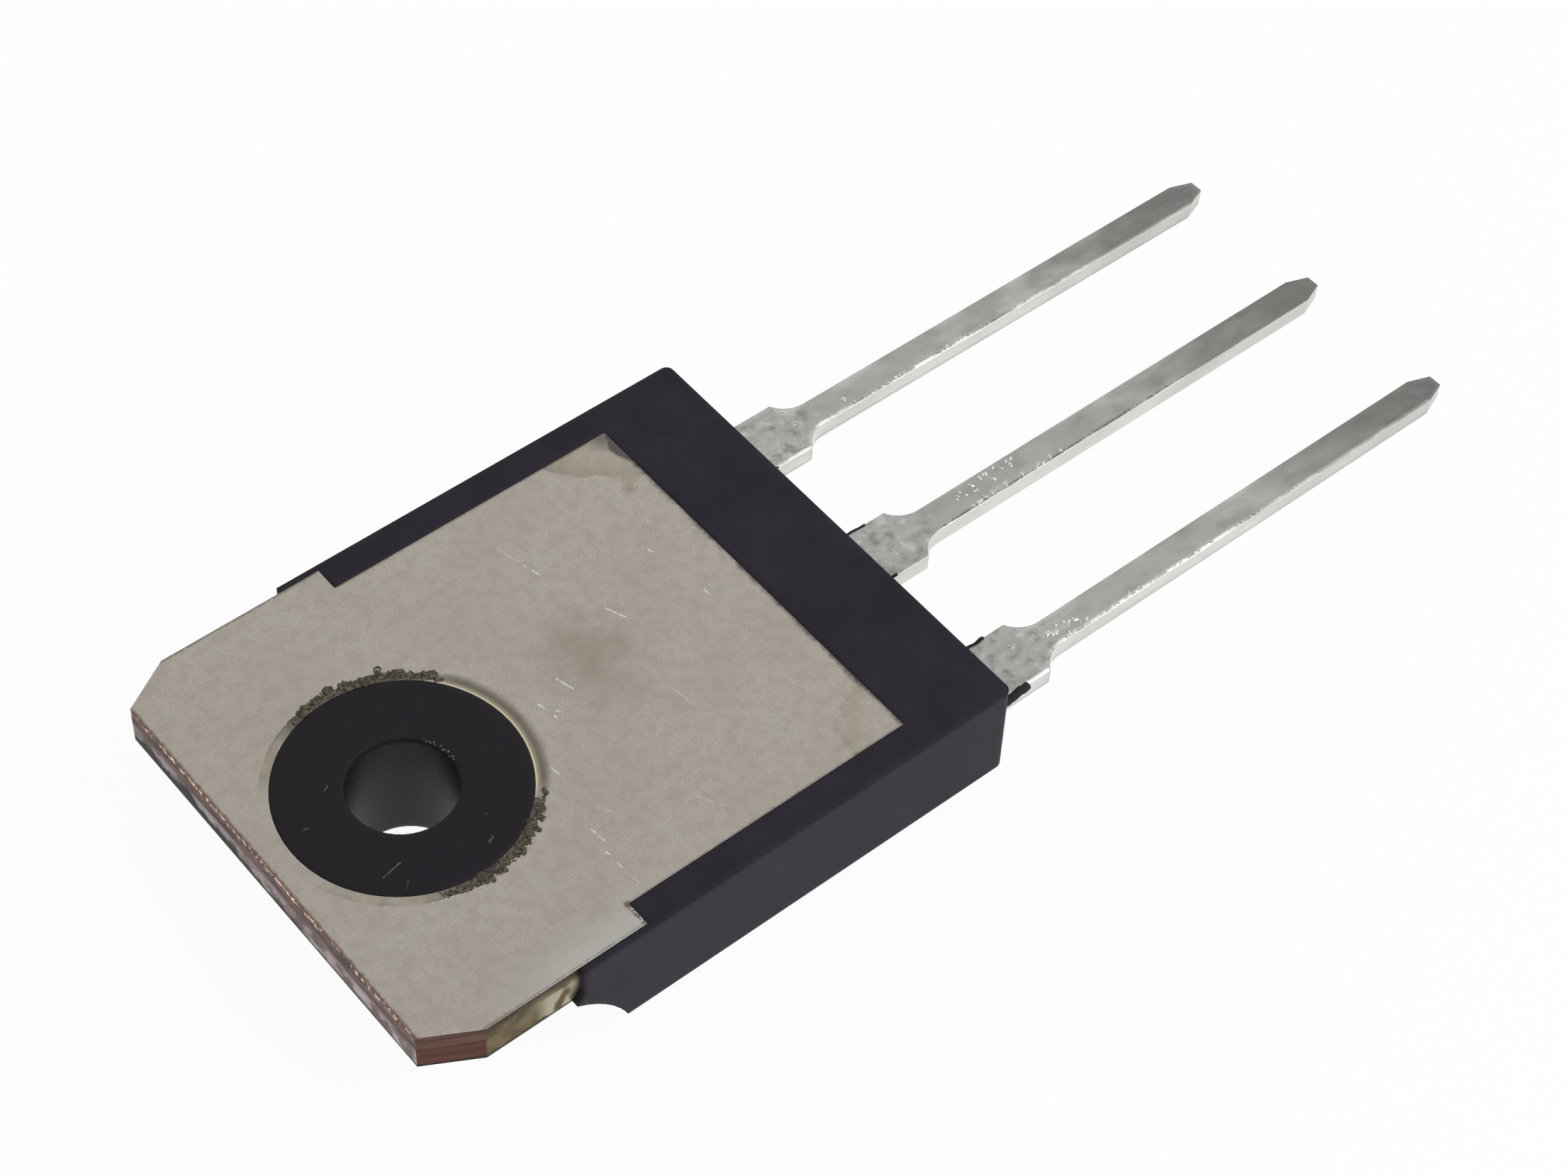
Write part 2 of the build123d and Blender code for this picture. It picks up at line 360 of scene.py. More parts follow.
end_finish(shader, grain, moulding_depth, moulding_edge, Base_Color=black, Roughness=dullness)
wear("mould_body", moulding)

# %% [markdown]
# The leads were dipped in tin. Dipped tin is pale and satin, sets in long pools, dulls in patches,
# is smeared and pitted on the shoulders and goes darker towards the tips, and pale patches among
# the shoulder smears are painted highlights. A picture of tin would need unwrapped meshes, so noise
# stretched along the leads does it. Two nodes wear it, and so does the end of a third, the header,
# whose collector lead is one piece with the plate. Its sums are therefore a function that all of them call.

# %% How tin looks
lead_pitch, shank_half = 5.45, 0.5
shank_start, bright_end = 19.35, 27
line_fade, line_end = 28, 32
dark_start, dark_end = 26, 35.5


def tin_look(place, upward):
    """Colour, with painted highlights on the shoulders, roughness and height of dipped tin at a place;
    upward is the normal's z.
    """
    x, y = parts_of(place)[:2]
    pools = cloud(place.vector("MULTIPLY", place, (1.0, 0.35, 1.0)), 1.2, 2, 0.45)
    lumps = cloud(place.vector("MULTIPLY", place, (1.0, 0.6, 1.0)), 1.7, 2, 0.45)
    fine = cloud(place, 9, 2, 0.5)
    on_top = rise(upward, 0.5, 0.8)
    dull = rise(pools, 0.36, 0.62) * (0.25 + 0.75 * on_top)
    colour = mix(dull, tone(218, 218, 214), tone(188, 186, 180))
    colour = mix(0.45 * on_top * rise(lumps, 0.42, 0.78), colour, tone(146, 142, 135))
    fresh = on_top * (1 - rise(y, shank_start, bright_end))
    colour = mix(0.3 * fresh, colour, tone(218, 217, 213))
    tip = rise(y + 4 * (pools - 0.5), dark_start, dark_end) * (0.3 + 0.7 * on_top)
    colour = mix(0.75 * tip, colour, tone(122, 120, 118))
    across = x - lead_pitch * x.math("ROUND", x * (1 / lead_pitch))
    on_shank = on_top * rise(y, shank_start, shank_start + 0.3) * (1 - rise(y, line_fade, line_end))
    edge_line = near(across, shank_half - 0.05, 0.07) * on_shank * rise(lumps + fine, 0.92, 1.08)
    colour = mix(0.7 * edge_line, colour, tone(92, 85, 80))
    on_shoulder = on_top * (1 - rise(y, shank_start - 0.6, shank_start + 0.6))
    shoulder_smears_and_highlights = cloud(place, 2.6, 3, 0.6)
    colour = mix(0.5 * on_shoulder * rise(shoulder_smears_and_highlights, 0.5, 0.68), colour, tone(128, 122, 114))
    # Near-white patches where the shoulder smears are thin are painted highlights.
    colour = mix(0.6 * on_shoulder * (1 - rise(shoulder_smears_and_highlights, 0.32, 0.42)), colour, tone(242, 242, 238))
    pits = specks(place, 2.2, 0.05, 0.22) * rise(lumps, 0.45, 0.6)
    pits = most(pits, on_shoulder * specks(place, 1.7, 0.055, 0.35))
    colour = mix(0.6 * pits, colour, tone(84, 80, 76))
    height = pools + 0.35 * lumps + 0.04 * fine - 0.15 * pits + 0.2 * on_shoulder * shoulder_smears_and_highlights
    return colour, 0.27 + 0.22 * dull, height


print("tin is bright to", bright_end, "mm and dark from", dark_start, "mm on")

# %% Tin on the outer leads
tin_depth, tin_edge = 0.09, 0.22
tin, shader, place = start_finish("tinned_copper", {"Metallic": 1.0})
tin_and_highlight_colour, tin_rough, tin_height = tin_look(place, facing(tin)[2])
end_finish(shader, tin_height, tin_depth, tin_edge, Base_Color=tin_and_highlight_colour, Roughness=tin_rough)
for lead in ("base_lead", "emitter_lead"):
    wear(lead, tin)

# %% [markdown]
# The header is copper under thin nickel. Its mounting face is the largest surface in view, and what
# makes it real is on it: a faint cloud in the plating, a brown smudge, fine scratches, resin that
# crept out from the moulding, and bare copper where the press cut the plate. One noise over all of
# it would look like dust, so these are made one at a time, as shares, and put together at the end.
# Sizes repeat those of the solid model, and the way a face looks tells the top from the cut sides.

# %% Header: where things are
tab_end, plate_end, lead_face = -4.4, 12.2, 15.4
tab_half, neck_half, notch = 7.6, 6.8, 2.5
header, header_shader, place = start_finish("nickel_plated_copper", {})
x, y, z = parts_of(place)
across = x.math("ABSOLUTE", x)
normal_x, normal_y, normal_z = facing(header)
on_top = rise(normal_z, 0.6, 0.9)
on_end = rise(0 - normal_y, 0.8, 0.95)
on_side = rise(normal_x.math("ABSOLUTE", normal_x), 0.93, 0.99)
on_clip = (1 - rise(normal_z.math("ABSOLUTE", normal_z), 0.3, 0.6)) * (1 - most(on_end, on_side))
on_tin = rise(y, lead_face - 0.25, lead_face - 0.15)
wander = cloud(place, 1.1, 4, 0.6)
fine_wander = cloud(place, 5.5, 3, 0.65)
print("header zones: top, end, sides, clipped corners and tin")

# %% [markdown]
# The plating itself is satin nickel. One cloud alone looks like paint, so three lie over each other:
# a wide one, a closer mottle and a fine grain. Handling left a brown smudge in the middle and rubbed
# the edge by the near notch glossy, and the paler colour there is a painted sheen. A plain circle or
# band would look drawn, so a cloud bends both.

# %% Header: nickel
smudge_middle, smudge_squeeze = (-0.4, 6.7, 0), (0.42, 0.5, 0)
grain = cloud(place, 16, 2, 0.7)
plating = cloud(place, 0.33, 4, 0.6)
mottle = cloud(place, 2.4, 3, 0.6)
nickel = mix(rise(plating, 0.35, 0.65), tone(208, 201, 189), tone(216, 210, 199))
nickel = mix(0.45 * rise(mottle, 0.42, 0.64), nickel, tone(188, 181, 169))
nickel = mix(0.7 * rise(grain, 0.3, 0.7), nickel, tone(184, 176, 164))
from_smudge = place.vector("MULTIPLY", place.vector("SUBTRACT", place, smudge_middle), smudge_squeeze)
smudge = 1 - rise(length_of(from_smudge) + 1.2 * (wander - 0.5), 0.0, 1.0)
nickel = mix(0.5 * smudge, nickel, tone(160, 152, 137))
# By the near notch the plate is rubbed glossy, and its paler colour there is a painted sheen.
burnish_and_sheen = rise(x + 0.5 * (wander - 0.5), 6.3, 7.5) * rise(y, -2.5, 0.5) * (1 - rise(y, 2.6, 4.5))
nickel = mix(0.7 * burnish_and_sheen, nickel, tone(236, 234, 228))
print("nickel with a smudge and a burnished edge")

# %% [markdown]
# Scratches run nearly straight across the plate and are brighter than it. Cut into the mesh they would
# take far too many faces, so they are strokes in the finish, and a noise breaks each one, as a real
# scratch skips. A faint rubbing along the plate is kept for its gloss and its bump.

# %% Header: scratches
deep_width, faint_width = 0.038, 0.036
deep_scratches = [
    ((-0.34, 5.54), (0.26, 5.71)),
    ((0.01, 4.58), (0.4, 4.71)),
    ((0.65, 4.72), (0.74, 4.72)),
    ((0.55, 4.86), (0.6, 4.92)),
    ((2.0, 3.57), (2.3, 3.61)),
    ((-1.51, 8.17), (-0.93, 8.42)),
    ((-4.17, 7.28), (-3.67, 7.41)),
    ((-2.45, 10.46), (-2.31, 10.55)),
    ((-0.32, 10.82), (-0.1, 10.85)),
    ((4.3, 3.19), (4.78, 3.24)),
    ((5.02, 3.02), (5.24, 3.07)),
    ((5.58, 3.07), (5.76, 3.08)),
]
faint_scratches = [
    ((-5.19, 7.03), (-4.19, 7.29)),
    ((-2.72, 7.66), (-2.64, 7.68)),
    ((-2.15, 7.76), (-2.08, 7.78)),
    ((-3.38, 11.13), (-3.17, 11.15)),
    ((-2.24, 3.94), (-2.11, 3.95)),
    ((2.04, 7.93), (2.67, 8.01)),
    ((3.83, 3.77), (4.31, 4.08)),
    ((4.98, 6.02), (5.89, 6.53)),
    ((5.93, 3.07), (6.52, 3.16)),
]
deep = most(*[stroke(place, start, end, deep_width) for start, end in deep_scratches])
faint = most(*[stroke(place, start, end, faint_width) for start, end in faint_scratches])
scratches = most(deep, 0.35 * faint) * rise(fine_wander, 0.4, 0.55)
rubbed = cloud(place.vector("MULTIPLY", place, (9, 0.7, 1)), 1.0, 3, 0.7)
bright_dots = most(specks(place, 0.7, 0.04, 0.4), 0.6 * specks(place, 2.2, 0.03, 0.35))
nickel = mix(most(0.85 * scratches, 0.5 * bright_dots), nickel, tone(252, 250, 245))
nickel = mix(0.6 * specks(place, 0.45, 0.05, 0.3), nickel, tone(104, 95, 84))
print(len(deep_scratches), "deep scratches and", len(faint_scratches), "faint ones")

# %% [markdown]
# Resin that crept over the plate is a film a few hundredths of a millimetre thick. Round the ring it
# differs by direction: crumbly and dark towards the base and the emitter, smooth between them, thin
# beside that, and none at the tab's end. Where it is smooth, a painted highlight runs along the ring's
# edge and the film darkens outwards into a painted shadow. An angle from an arctangent would jump
# where the circle closes. A sector is where the direction from the hole lies close to a middle angle,
# so a dot product is enough, and it closes by itself.

# %% Header: which way from the hole
from_hole = place.vector("MULTIPLY", place, (1, 1, 0))
hole_gap = length_of(from_hole)
outward = from_hole.vector("NORMALIZE", from_hole)


def sector(middle, half, soft=9):
    """1 within half an opening, in degrees, of a direction from the hole, fading over a soft edge."""
    aim = (cos(radians(middle)), sin(radians(middle)), 0)
    along = outward.vector("DOT_PRODUCT", outward, aim, out="Value")
    return rise(along, cos(radians(half + soft)), cos(radians(half - soft)))


base_side, emitter_side, smooth_side = sector(166, 38), sector(14, 33), sector(89, 40)
crumbly = most(base_side, emitter_side)
filmed = 1 - sector(-98, 24, 14)
print("resin differs in four sectors round the hole")

# %% Header: resin round the ring
lobes = (0.1 + 0.25 * crumbly) * (fine_wander - 0.5)
film_reach = ring_radius + 0.3 - 0.04 * crumbly + 0.1 * smooth_side + lobes
film_fade = 0.03 + 0.15 * smooth_side
thick_film = most(crumbly, smooth_side)
film_strength = thick_film + (1 - thick_film) * (0.25 + 0.6 * rise(wander, 0.35, 0.65))
ring_film = filmed * film_strength * (1 - rise(hole_gap - film_reach, 0 - film_fade, film_fade))
film_rim = (0.2 + 0.6 * crumbly) * near(hole_gap, film_reach - 0.05, 0.09)
# A painted highlight along the ring's edge where the film is smooth.
ring_edge_highlight = sector(90, 42) * (1 - rise(hole_gap, ring_radius + 0.03, ring_radius + 0.07))
crumb_colour = mix(emitter_side, tone(54, 48, 37), tone(50, 42, 31))
crumb_colour = mix(rise(fine_wander, 0.45, 0.66), crumb_colour, tone(92, 83, 66))
thin_colour = mix(crumbly, tone(132, 125, 104), crumb_colour)
# The smooth film is pale by the ring and darkens outwards into a painted shadow.
smooth_film_shadow_share = rise(hole_gap, ring_radius + 0.05, ring_radius + 0.2)
smooth_film_and_shadow_colour = mix(smooth_film_shadow_share, tone(150, 141, 120), tone(92, 85, 70))
film_and_painted_light_colour = mix(smooth_side, thin_colour, smooth_film_and_shadow_colour)
film_and_painted_light_colour = mix(film_rim, film_and_painted_light_colour, tone(44, 38, 31))
film_and_painted_light_colour = mix(0.75 * ring_edge_highlight, film_and_painted_light_colour, tone(226, 216, 180))
print("resin film round the ring")

# %% [markdown]
# At the far end of the plate the same resin stained both corners and lies as a dark rim against the
# moulding, also along the long edges. A painted picture could carry the stains but would blur close
# up, so they are distances from a corner, bent by a cloud, with a tide line where they stopped.

# %% Header: resin along the far edge
from_far_left = place.vector("SUBTRACT", place, (-neck_half, plate_end, 0))
from_far_right = place.vector("SUBTRACT", place, (neck_half, plate_end, 0))
drift = cloud(place, 0.8, 1, 0.4)
left_bleed = length_of(from_far_left) + 2.4 * (drift - 0.5) + 0.3 * (fine_wander - 0.5)
right_bleed = length_of(from_far_right) + 1.6 * (wander - 0.5) + 0.4 * (fine_wander - 0.5)
tide = 0.4 + 0.6 * rise(left_bleed, 1.0, 1.8)
left_film = 0.65 * tide * (1 - rise(left_bleed, 1.76, 2.02)) * rise(left_bleed, -0.1, 0.7)
right_film = 0.42 * (1 - rise(right_bleed, 1.6, 1.95)) * rise(right_bleed, 0.9, 1.7)
corner_film = most(left_film, right_film)
corner_colour = mix(rise(wander, 0.35, 0.65), tone(112, 103, 84), tone(136, 127, 107))
corner_dirt = 1 - rise(length_of(from_far_left) + 0.9 * (wander - 0.5), 0.2, 0.9)
edge_creep = plate_end - y + 0.3 * (wander - 0.5) + 0.2 * (fine_wander - 0.5)
edge_creep = edge_creep - 0.22 * near(x, 0.7 - neck_half, 0.7)
side_creep = neck_half - across + 0.12 * (fine_wander - 0.5)
long_edge = 0.65 * rise(y, notch, notch + 0.1) * (1 - rise(side_creep, 0.0, 0.1))
edge_film = most(0.9 * (1 - rise(edge_creep, -0.02, 0.16)), long_edge, 0.7 * corner_dirt)
resin = on_top * most(0.85 * ring_film, corner_film, edge_film)
print("resin in the far corners and along the edges")

# %% [markdown]
# The press cut the plate, so its edges show copper. A cut has two bands: a dark, sheared one next to
# the mounting face and a paler, torn one below it. The clipped corner is redder, and on the long side
# resin has stained the copper olive. Separate strips of mesh could carry all this, but the plate is
# one piece, so shares of its height and direction choose the colour.

# %% Header: worn rims
copper = mix(rise(fine_wander, 0.4, 0.65), tone(112, 76, 64), tone(140, 98, 82))
end_wear = 1 - rise(y - tab_end + 0.16 * (fine_wander - 0.5), 0.02, 0.12)
from_chip = place.vector("SUBTRACT", place, (neck_half + 0.02, notch - 0.02, 0))
chip = 1 - rise(length_of(from_chip) + 0.25 * (fine_wander - 0.5), 0.05, 0.16)
by_notch = near(y, notch - 0.04, 0.13) * rise(x, neck_half, neck_half + 0.2)
notch_dirt = by_notch * rise(fine_wander, 0.46, 0.56)
tab_gap = tab_half - across + 0.14 * (fine_wander - 0.5)
side_wear = (1 - rise(y, notch - 0.15, notch)) * (1 - rise(tab_gap, 0.02, 0.1))
print("worn rim, chipped notch and dirt")

# %% Header: the tab's end
streaks = cloud(place.vector("MULTIPLY", place, (0.7, 0.7, 6)), 1.0, 3, 0.6)
sheared = rise(z + 0.3 * (wander - 0.5) + 0.12 * (fine_wander - 0.5), -0.8, -0.5)
torn_colour = mix(rise(wander, 0.4, 0.6), tone(108, 89, 86), tone(166, 154, 154))
sheared_colour = mix(rise(streaks, 0.42, 0.6), tone(70, 52, 46), tone(118, 94, 86))
end_colour = mix(sheared, torn_colour, sheared_colour)
# Painted glints along the rounded top edge of the end face.
end_edge_glints = rise(z, -0.3, -0.1) * rise(fine_wander, 0.51, 0.59)
end_colour = mix(end_edge_glints, end_colour, tone(248, 216, 194))
foot_gap = 0.09 * x.math("ABSOLUTE", x + 4)
black_foot = 1 - rise(z + 0.9 * (wander - 0.5) + foot_gap, -0.98, -0.82)
end_colour = mix(black_foot, end_colour, tone(30, 28, 34))
pale_end = rise(x, 1.0, 5.0) * rise(wander, 0.46, 0.58) * (1 - rise(z, -0.95, -0.65))
end_colour = mix(0.6 * pale_end, end_colour, tone(190, 182, 180))
print("the end has a sheared and a torn band")

# %% Header: clipped corners and long sides
layers = cloud(place.vector("MULTIPLY", place, (0.5, 0.5, 9)), 1.0, 2, 0.6)
clip_colour = mix(rise(z, -0.66, -0.4), tone(104, 66, 59), tone(110, 82, 73))
clip_colour = mix(0.6 * rise(layers, 0.45, 0.6), clip_colour, tone(70, 46, 41))
side_colour = mix(rise(wander, 0.4, 0.6), tone(92, 80, 54), tone(120, 107, 78))
pale_patch = rise(cloud(place, 0.9, 2), 0.47, 0.53) * rise(y, -1.3, -0.7) * (1 - rise(z, -0.5, -0.35))
side_colour = mix(pale_patch, side_colour, tone(176, 168, 144))
side_colour = mix(rise(z, -0.34, -0.16) * rise(streaks, 0.3, 0.5), side_colour, tone(70, 58, 46))
print("red corners and olive sides")

# %% [markdown]
# The shares now go on one over the other: plating, wear, dirt and resin on the top, with their
# painted sheen, highlight and shadow, then each cut face with the painted glints of the end, then
# tin over the lead with its painted highlights. Separate materials on separate faces would leave
# hard borders, so all of them meet in one shader. Resin is no metal, so it also lowers Metallic.

# %% Header: put together
plate_depth, plate_edge = 0.04, 0.045
tin_lift = 2.2
top_colour = mix(on_top * most(0.75 * end_wear, 0.8 * chip), nickel, copper)
top_colour = mix(on_top * most(0.8 * notch_dirt, 0.5 * side_wear), top_colour, tone(58, 48, 40))
top_colour = mix(on_top * corner_film, top_colour, corner_colour)
top_colour = mix(on_top * edge_film, top_colour, tone(58, 52, 46))
top_colour = mix(on_top * 0.9 * ring_film, top_colour, film_and_painted_light_colour)
plate_colour = mix(on_end, mix(on_side, mix(on_clip, top_colour, clip_colour), side_colour), end_colour)
bare_side = most(on_end, on_side, on_clip)
lower_line = bare_side * (1 - rise(z + 0.12 * (fine_wander - 0.5), -1.36, -1.24))
plate_colour = mix(0.85 * lower_line, plate_colour, tone(36, 32, 33))
tin_and_highlight_colour, tin_rough, tin_height = tin_look(place, normal_z)
header_colour = mix(on_tin, plate_colour, tin_and_highlight_colour)
plate_rough = 0.33 + 0.1 * grain + 0.1 * rubbed + 0.12 * bare_side - 0.12 * burnish_and_sheen
header_rough = plate_rough + on_tin * (tin_rough - plate_rough)
plate_height = 0.12 * grain + 0.06 * rubbed + 0.5 * resin - 0.3 * scratches
header_height = plate_height + on_tin * (tin_lift * tin_height - plate_height)
metal = 1 - 0.85 * resin * (1 - on_tin)
end_finish(
    header_shader, header_height, plate_depth, plate_edge,
    Base_Color=header_colour, Roughness=header_rough, Metallic=metal,
)
wear("collector_header", header)

# %% [markdown]
# The die, its solder and its wires are inside the moulding and nobody sees them, but anyone who
# takes the moulding away should find silicon, solder and aluminium. Each could have a cell of its own,
# but they differ only in numbers, so one loop makes all three finishes.

# %% Inside the moulding
inner_depth, inner_edge = 0.006, 0.02
# Each finish: name, metallic share, roughness, darker and paler tone, and the nodes that wear it.
inner_finishes = [
    ("silicon", 0.3, 0.15, tone(58, 60, 70), tone(84, 86, 96), ["silicon_die"]),
    ("soft_solder", 1.0, 0.35, tone(150, 148, 146), tone(186, 184, 180), ["die_solder"]),
    (
        "aluminium_wire", 1.0, 0.28, tone(196, 197, 200), tone(222, 222, 224),
        ["base_bond_wire", "emitter_bond_wire_1", "emitter_bond_wire_2"],
    ),
]
for name, metallic, roughness, low, high, node_names in inner_finishes:
    finish, shader, place = start_finish(name, {"Metallic": metallic})
    grain = cloud(place, 6, 3, 0.6)
    colour = mix(grain, low, high)
    dullness = roughness + 0.15 * grain
    end_finish(shader, grain, inner_depth, inner_edge, Base_Color=colour, Roughness=dullness)
    for node_name in node_names:
        wear(node_name, finish)

# %% [markdown]
# What is left stands a little proud of the solids: crumbs of flash round the ring, two curls of it,
# flash on the lead roots and bubbles in the tin. Bump could draw them, but it would leave the outline
# clean. Each kind repeats or follows a path, so each is a Geometry Nodes tree with named inputs.
# Three helpers start a tree, end it, and run it once, keeping the result as a plain mesh.

# %% Running a tree
def start_tree(name, inputs):
    """A Geometry Nodes tree with named inputs. Returns it and a wire for each input."""
    tree = bpy.data.node_groups.new(name, "GeometryNodeTree")
    tree.interface.new_socket("Geometry", in_out="OUTPUT", socket_type="NodeSocketGeometry")
    for label, kind in inputs.items():
        tree.interface.new_socket(label, in_out="INPUT", socket_type="NodeSocket" + kind)
    source = tree.nodes.new("NodeGroupInput")
    return tree, {label: Wire(source.outputs[label]) for label in inputs}


def end_tree(shape, finish):
    """Realize what was instanced, smooth it, give it its finish and hand it to the tree's output."""
    shape = shape.node("GeometryNodeRealizeInstances", {0: shape})
    shape = shape.node("GeometryNodeSetShadeSmooth", {0: shape})
    shape = shape.node("GeometryNodeSetMaterial", {"Geometry": shape, "Material": finish})
    shape.node("NodeGroupOutput", {0: shape})


def run_tree(name, tree, values):
    """Run a tree once, keep its result as a plain mesh and let the piece ride on the part."""
    piece = bpy.data.objects.new(name, bpy.data.meshes.new(name))
    scene.collection.objects.link(piece)
    step = piece.modifiers.new(name, "NODES")
    step.node_group = tree
    for socket in tree.interface.items_tree:
        if socket.name in values:
            step[socket.identifier] = values[socket.name]
    made = bpy.data.meshes.new_from_object(piece.evaluated_get(bpy.context.evaluated_depsgraph_get()))
    piece.modifiers.remove(step)
    piece.data = made
    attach(piece, "root")
    print(name, "has", len(made.polygons), "faces")


print("trees can be started, ended and run")

# %% [markdown]
# Crumbs and beads are the same thing at heart: a small ball, dented by a noise, put down many times
# with its own size and turn. Real crumbs all differ, but one ball of a few faces, stretched and
# turned at random, is enough at a tenth of a millimetre.

# %% A rough ball and its chances
noise_middle = (0.5, 0.5, 0.5)
no_turn, full_turn = (0.0, 0.0, 0.0), (0.0, 0.0, 6.28)
crumb_rounds, bead_rounds = 1, 2
crumb_dents, bead_dents = 1.2, 0.5


def chance(near_wire, low, high, seed):
    """A random vector for each point, from low to high."""
    plugs = {0: low, 1: high, "Seed": seed}
    return near_wire.node("FunctionNodeRandomValue", plugs, data_type="FLOAT_VECTOR")


def lump(near_wire, rounds, unevenness):
    """A rough ball of radius 1, to be placed many times."""
    ball = near_wire.node("GeometryNodeMeshIcoSphere", {"Radius": 1.0, "Subdivisions": rounds})
    spot = ball.node("GeometryNodeInputPosition", {})
    bumps = spot.node("ShaderNodeTexNoise", {"Vector": spot, "Scale": 1.3, "Detail": 1.0}, out="Color")
    bumps = bumps.vector("SUBTRACT", bumps, noise_middle).scaled(unevenness)
    return ball.node("GeometryNodeSetPosition", {"Geometry": ball, "Offset": bumps})


crumb_faces, bead_faces = [20 * 4 ** (rounds - 1) for rounds in (crumb_rounds, bead_rounds)]
print("a crumb has", crumb_faces, "faces and a bead has", bead_faces)

# %% [markdown]
# Thin flash lets light through, so it is browner and paler than the moulding that it came from. The
# grit at the bore is crushed flash and nearly grey. Both would vanish in the moulding's own black, so
# each gets a small finish of its own.

# %% Flash and grit
flash_depth, flash_edge = 0.02, 0.01
flash, shader, place = start_finish("thin_flash", {"Specular IOR Level": 0.4})
grain = cloud(place, 9, 3, 0.6)
flash_colour = mix(rise(grain, 0.38, 0.66), tone(46, 41, 33), tone(98, 89, 70))
dullness = 0.4 + 0.2 * grain
end_finish(shader, grain, flash_depth, flash_edge, Base_Color=flash_colour, Roughness=dullness)
grit, shader, place = start_finish("moulding_grit", {})
grain = cloud(place, 11, 3, 0.6)
grit_colour = mix(grain, tone(58, 56, 54), tone(112, 107, 98))
dullness = 0.5 + 0.2 * grain
end_finish(shader, grain, flash_depth, flash_edge, Base_Color=grit_colour, Roughness=dullness)

# %% [markdown]
# Crumbs of flash lie in an arc where the ring meets the plate. A tree walks that arc, moves each step
# sideways by a random share of a width, and drops a rough, flat grain there with its own size and
# turn. Placing them by hand would take as long for each of the seven rows as the tree did for all.

# %% Crumbs along an arc
def crumb_tree(name, finish):
    """A tree that strews grains of one finish along an arc round the screw hole."""
    inputs = {"Radius": "Float", "Width": "Float", "Start": "Float", "Sweep": "Float"}
    inputs.update({"Count": "Int", "Size": "Float", "Flat": "Float", "Seed": "Int"})
    tree, put = start_tree(name, inputs)
    arc_plugs = {"Resolution": put["Count"], "Radius": put["Radius"]}
    arc_plugs.update({"Start Angle": put["Start"], "Sweep Angle": put["Sweep"]})
    arc = put["Radius"].node("GeometryNodeCurveArc", arc_plugs, mode="RADIUS")
    steps = arc.node("GeometryNodeCurveToPoints", {"Curve": arc, "Count": put["Count"]}, mode="COUNT")
    push = chance(steps, (-0.5, -0.5, 0.0), (0.5, 0.5, 0.0), put["Seed"]).scaled(put["Width"])
    steps = steps.node("GeometryNodeSetPosition", {"Geometry": steps, "Offset": push})
    squash_plugs = {0: put["Size"], 1: put["Size"], 2: put["Size"] * put["Flat"]}
    squash = steps.node("ShaderNodeCombineXYZ", squash_plugs)
    size = chance(steps, (0.2, 0.2, 0.4), (1.9, 1.4, 1.0), put["Seed"] + 1)
    placing = {"Points": steps, "Instance": lump(steps, crumb_rounds, crumb_dents)}
    placing["Rotation"] = chance(steps, no_turn, full_turn, put["Seed"] + 2)
    placing["Scale"] = size.vector("MULTIPLY", size, squash)
    end_tree(steps.node("GeometryNodeInstanceOnPoints", placing), finish)
    return tree


# Each row: name, finish, radius, width, start and sweep in degrees, count, grain size and flatness.
crumb_rows = [
    ("flash_base_side", flash, ring_radius + 0.14, 0.14, 128, 70, 46, 0.1, 0.22),
    ("flash_base_rim", flash, ring_radius + 0.25, 0.1, 130, 56, 34, 0.085, 0.35),
    ("flash_emitter_side", flash, ring_radius + 0.14, 0.16, -20, 64, 44, 0.1, 0.22),
    ("flash_emitter_rim", flash, ring_radius + 0.27, 0.12, -8, 58, 34, 0.095, 0.35),
    ("bore_grit", grit, bore_radius + 0.04, 0.08, 84, 40, 12, 0.035, 0.5),
    ("flash_base_lumps", flash, ring_radius + 0.2, 0.1, 132, 58, 9, 0.15, 0.2),
    ("flash_emitter_lumps", flash, ring_radius + 0.17, 0.12, -8, 48, 8, 0.15, 0.2),
]
for seed, (name, finish, radius, width, start, sweep, count, size, flat) in enumerate(crumb_rows):
    values = {"Radius": radius * mm, "Width": width * mm, "Size": size * mm, "Flat": flat}
    values.update({"Start": radians(start), "Sweep": radians(sweep), "Count": count, "Seed": 10 * seed})
    run_tree(name, crumb_tree(name, finish), values)

# %% [markdown]
# Two threads of flash came off in one piece and curled up on the plate. A torus would close and look
# like a washer. A curl follows a path, so the tree makes a flat spiral that winds inwards, and sweeps
# a small circle along it.

# %% Curls of flash
curl_thick, curl_turns, curl_close = 0.019, 1.3, 0.4
curl_tree, put = start_tree("flash_curl", {"Middle": "Vector", "Radius": "Float", "Thick": "Float"})
spiral_plugs = {"Resolution": 16, "Rotations": curl_turns, "Start Radius": put["Radius"]}
spiral_plugs.update({"End Radius": put["Radius"] * curl_close, "Height": put["Thick"]})
spiral = put["Radius"].node("GeometryNodeCurveSpiral", spiral_plugs)
spiral = spiral.node("GeometryNodeTransform", {"Geometry": spiral, "Translation": put["Middle"]})
thread = spiral.node("GeometryNodeCurvePrimitiveCircle", {"Resolution": 7, "Radius": put["Thick"]})
coil_plugs = {"Curve": spiral, "Profile Curve": thread, "Fill Caps": True}
end_tree(spiral.node("GeometryNodeCurveToMesh", coil_plugs), flash)
for name, middle, radius in (("base", (-3.66, 1.78, 0.01), 0.13), ("emitter", (3.62, 1.33, 0.01), 0.1)):
    values = {"Middle": Vector(middle) * mm, "Radius": radius * mm, "Thick": curl_thick * mm}
    run_tree("flash_curl_" + name, curl_tree, values)

# %% [markdown]
# Where the leads leave the moulding, resin ran out along their edges and broke off. Each strip is a
# line that wanders a little and grows thin towards its end. A plain rod would look like a pin, so one
# noise moves the line and changes its girth. It sits a little into the lead's edge, as it stuck there.

